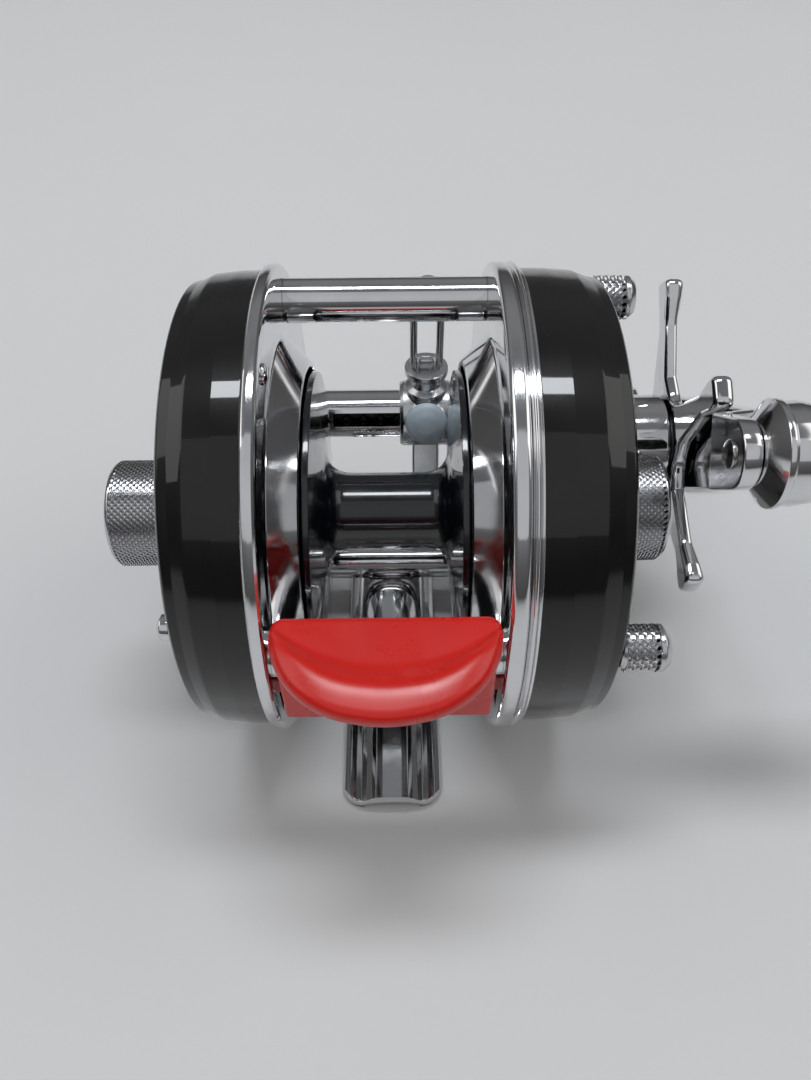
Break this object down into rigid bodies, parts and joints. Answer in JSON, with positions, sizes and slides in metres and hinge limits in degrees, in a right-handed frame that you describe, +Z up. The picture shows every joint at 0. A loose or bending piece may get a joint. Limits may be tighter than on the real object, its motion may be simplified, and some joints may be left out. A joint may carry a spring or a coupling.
{
  "type": "baitcasting reel",
  "caption": "Round-frame baitcasting fishing reel with star drag, crank handle, level-wind line guide and red thumb bar.",
  "frame": {"origin": "middle of the reel foot, on the plane where the foot meets the rod seat", "axes": "+X along the spool axis to the handle side, +Y the way the line leaves the reel, +Z up, away from the rod"},
  "size_m": [0.0869, 0.0743, 0.057],
  "materials": {
    "chrome": "polished",
    "black_plate": "gloss",
    "black_spool": "gloss anodised",
    "steel": "satin",
    "brass": "machined",
    "grey_cap": "matt",
    "fibre": "matt",
    "red_plastic": "satin"
  },
  "bodies": {
    "frame": {"frame_plate_right": "chrome", "frame_plate_left": "chrome", "pillars": "chrome", "reel_foot": "chrome", "foot_rivets": "chrome", "level_wind_tube": "chrome", "tube_end_bushes": "grey_cap", "left_side_plate": "black_plate", "left_plate_screws": "chrome", "bearing_outer_race": "steel", "bearing_balls": "steel", "rim_ring": "chrome", "right_side_plate": "black_plate", "right_bush": "brass", "gear_plate": "steel", "brake_drum": "steel", "dog_pivot": "steel", "yoke_pins": "steel", "yoke_springs": "steel", "cam_spring": "steel", "shaft_bushing": "chrome"},
    "handle": {"drive_shaft": "steel", "ratchet": "steel", "wind_drive_gear": "brass", "main_gear": "brass", "drag_discs": "fibre", "drag_plate": "steel", "star_spring": "steel", "crank": "chrome", "handle_nut": "chrome", "nut_retainer": "chrome", "retainer_screw": "chrome", "knob_spindles": "steel"},
    "star": {"star_drag": "chrome"},
    "near_knob": {"knob_near": "chrome"},
    "far_knob": {"knob_far": "chrome"},
    "spool_unit": {"spool": "black_spool", "spool_shaft": "steel", "brake_pin": "steel", "brake_blocks": "fibre", "bearing_inner_race": "steel", "click_gear": "brass"},
    "worm": {"worm_shaft": "steel", "worm_gear": "brass"},
    "line_guide": {"carriage": "chrome", "line_guide_wire": "steel", "pawl_cap": "grey_cap"},
    "guide_pawl": {"pawl": "steel"},
    "left_cap": {"left_spool_cap": "chrome"},
    "right_cap": {"right_spool_cap": "chrome"},
    "clicker_button": {"click_button": "chrome"},
    "clicker_pawl": {"click_pawl": "steel"},
    "dog": {"anti_reverse_dog": "steel"},
    "clutch_yoke": {"yoke": "steel"},
    "clutch_pinion": {"pinion": "brass"},
    "thumb_lever": {"thumb_bar": "red_plastic", "clutch_cam": "steel"},
    "top_screw": {"thumb_screw_top": "chrome"},
    "rear_screw": {"thumb_screw_rear": "chrome"},
    "bottom_screw": {"thumb_screw_bottom": "chrome"}
  },
  "joints": [
    {"name": "handle_turn", "type": "hinge", "parent": "frame", "child": "handle", "pos_m": [0.0382, 0.01069, 0.02833], "axis": [1, 0, 0], "continuous": true},
    {"name": "star_turn", "type": "hinge", "parent": "handle", "child": "star", "pos_m": [0.0362, 0.01069, 0.02833], "axis": [1, 0, 0], "range_deg": [-180, 180]},
    {"name": "near_knob_turn", "type": "hinge", "parent": "handle", "child": "near_knob", "pos_m": [0.045, -0.0126, 0.04908], "axis": [1, 0, 0], "continuous": true},
    {"name": "far_knob_turn", "type": "hinge", "parent": "handle", "child": "far_knob", "pos_m": [0.045, 0.03399, 0.00757], "axis": [1, 0, 0], "continuous": true},
    {"name": "spool_turn", "type": "hinge", "parent": "frame", "child": "spool_unit", "pos_m": [0, -0.002, 0.03], "axis": [1, 0, 0], "continuous": true},
    {"name": "worm_turn", "type": "hinge", "parent": "frame", "child": "worm", "pos_m": [0, 0.02047, 0.02542], "axis": [1, 0, 0], "continuous": true},
    {"name": "line_guide_travel", "type": "slide", "parent": "frame", "child": "line_guide", "axis": [1, 0, 0], "range_m": [-0.0111, 0.0009]},
    {"name": "guide_pawl_swivel", "type": "hinge", "parent": "line_guide", "child": "guide_pawl", "pos_m": [0.0051, 0.02047, 0.02542], "axis": [0, -0.9063, 0.4226], "range_deg": [-30, 30]},
    {"name": "left_cap_turn", "type": "hinge", "parent": "frame", "child": "left_cap", "pos_m": [-0.026, -0.002, 0.03], "axis": [1, 0, 0], "range_deg": [-180, 180]},
    {"name": "right_cap_turn", "type": "hinge", "parent": "frame", "child": "right_cap", "pos_m": [0.028, -0.002, 0.03], "axis": [1, 0, 0], "range_deg": [-180, 180]},
    {"name": "thumb_bar_press", "type": "slide", "parent": "frame", "child": "thumb_lever", "axis": [0, 0, -1], "range_m": [0, 0.0035], "stiffness_N_per_m": 400, "springref_m": -0.002, "deforming": ["cam_spring"]},
    {"name": "yoke_lift", "type": "slide", "parent": "frame", "child": "clutch_yoke", "axis": [1, 0, 0], "range_m": [0, 0.0012], "deforming": ["yoke_springs"]},
    {"name": "pinion_turn", "type": "hinge", "parent": "clutch_yoke", "child": "clutch_pinion", "pos_m": [0.017, -0.002, 0.03], "axis": [1, 0, 0], "continuous": true},
    {"name": "click_button_slide", "type": "slide", "parent": "frame", "child": "clicker_button", "axis": [0, 0, -1], "range_m": [0, 0.0026]},
    {"name": "click_pawl_swing", "type": "hinge", "parent": "frame", "child": "clicker_pawl", "pos_m": [-0.0138, -0.0063, 0.03745], "axis": [1, 0, 0], "range_deg": [-25, 25], "stiffness_Nm_per_rad": 0.0002},
    {"name": "dog_swing", "type": "hinge", "parent": "frame", "child": "dog", "pos_m": [0.015, 0.00985, 0.03789], "axis": [1, 0, 0], "range_deg": [-20, 6], "stiffness_Nm_per_rad": 0.0004},
    {"name": "top_screw_turn", "type": "hinge", "parent": "frame", "child": "top_screw", "pos_m": [0.026, 0.014, 0.04825], "axis": [1, 0, 0], "range_deg": [-360, 360]},
    {"name": "rear_screw_turn", "type": "hinge", "parent": "frame", "child": "rear_screw", "pos_m": [0.026, -0.02291, 0.032], "axis": [1, 0, 0], "range_deg": [-360, 360]},
    {"name": "bottom_screw_turn", "type": "hinge", "parent": "frame", "child": "bottom_screw", "pos_m": [0.026, 0.00768, 0.00832], "axis": [1, 0, 0], "range_deg": [-360, 360]}
  ],
  "couplings": [
    {"joint": "spool_turn", "follows": "handle_turn", "ratio": -4.8182},
    {"joint": "pinion_turn", "follows": "handle_turn", "ratio": -4.8182},
    {"joint": "worm_turn", "follows": "handle_turn", "ratio": -1.6842},
    {"joint": "yoke_lift", "follows": "thumb_bar_press", "ratio": 0.34286}
  ]
}
